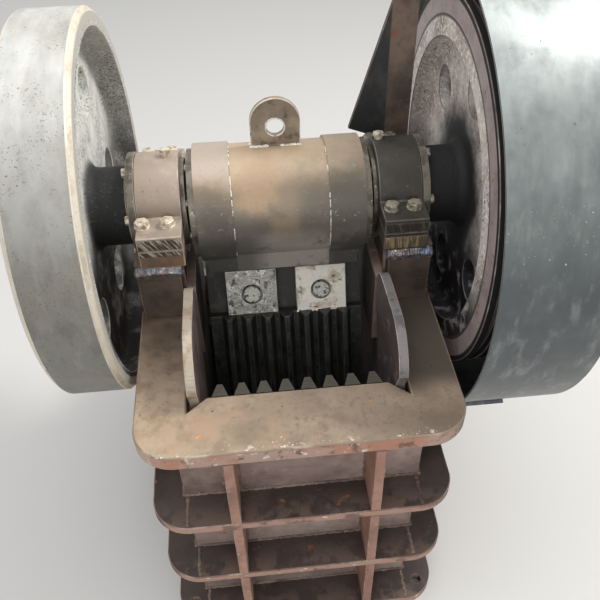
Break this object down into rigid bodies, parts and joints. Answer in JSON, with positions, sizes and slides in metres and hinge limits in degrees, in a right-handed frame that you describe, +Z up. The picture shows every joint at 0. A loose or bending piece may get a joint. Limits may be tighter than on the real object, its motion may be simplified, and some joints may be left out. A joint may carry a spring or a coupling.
{
  "type": "jaw crusher",
  "caption": "Small single-toggle jaw crusher with a welded plate frame, toothed jaws, an eccentric shaft with flywheel and grooved sheave, and a round sheet belt guard.",
  "frame": {"origin": "on the ground, at the centre of the four foundation bolt holes", "axes": "+Z up, -Y towards the feed side that the picture is taken from, +X along the shaft towards the grooved sheave"},
  "size_m": [1.193, 1.175, 1.537],
  "materials": {
    "brown_primer": "matte primer with rust",
    "pink_primer": "matte primer with rust",
    "weld_steel": "bare, heat tinted",
    "cast_housing": "machined and oiled",
    "jaw_steel": "as cast",
    "liner_steel": "flame cut edge",
    "swing_cast": "as cast with heat tint",
    "block_steel": "ground",
    "flywheel_cast": "turned rim",
    "sheave_cast": "thin primer",
    "shaft_steel": "turned",
    "spring_steel": "black oil",
    "guard_sheet": "bare mill sheet"
  },
  "bodies": {
    "frame": {"base_flange": "brown_primer", "front_wall": "pink_primer", "side_wall_left": "pink_primer", "side_wall_right": "pink_primer", "rear_wall": "pink_primer", "lower_rib": "brown_primer", "upper_rib": "brown_primer", "top_flange": "brown_primer", "front_ribs": "brown_primer", "side_ribs_left": "brown_primer", "side_ribs_right": "brown_primer", "rear_ribs": "brown_primer", "bearing_riser_left": "brown_primer", "bearing_riser_right": "brown_primer", "bearing_seat_left": "weld_steel", "bearing_seat_right": "weld_steel", "bearing_base_left": "cast_housing", "bearing_base_right": "cast_housing", "bearing_cap_left": "cast_housing", "bearing_cap_right": "cast_housing", "bearing_covers_left": "cast_housing", "bearing_covers_right": "cast_housing", "fixed_jaw": "jaw_steel", "cheek_plate_left": "liner_steel", "cheek_plate_right": "liner_steel", "toggle_block": "swing_cast", "toggle_plate": "swing_cast", "guard_rim": "guard_sheet", "guard_disc": "guard_sheet", "guard_post": "brown_primer", "guard_stay": "guard_sheet"},
    "rotor": {"eccentric_shaft": "shaft_steel", "flywheel": "flywheel_cast", "belt_sheave": "sheave_cast"},
    "pitman": {"swing_jaw": "swing_cast", "barrel_rings": "swing_cast", "lifting_eye": "swing_cast", "moving_jaw": "jaw_steel", "wedge_block_left": "block_steel", "wedge_block_right": "block_steel", "wedge_bolts": "block_steel", "tension_rod": "shaft_steel", "tension_spring": "spring_steel", "spring_nuts": "shaft_steel"}
  },
  "joints": [
    {"name": "shaft_spin", "type": "hinge", "parent": "frame", "child": "rotor", "pos_m": [0, 0.09, 1.01], "axis": [1, 0, 0], "continuous": true},
    {"name": "jaw_swing", "type": "hinge", "parent": "rotor", "child": "pitman", "pos_m": [0, 0.09, 1.002], "axis": [1, 0, 0], "continuous": true}
  ],
  "couplings": [
    {"joint": "jaw_swing", "follows": "shaft_spin", "ratio": -1}
  ]
}
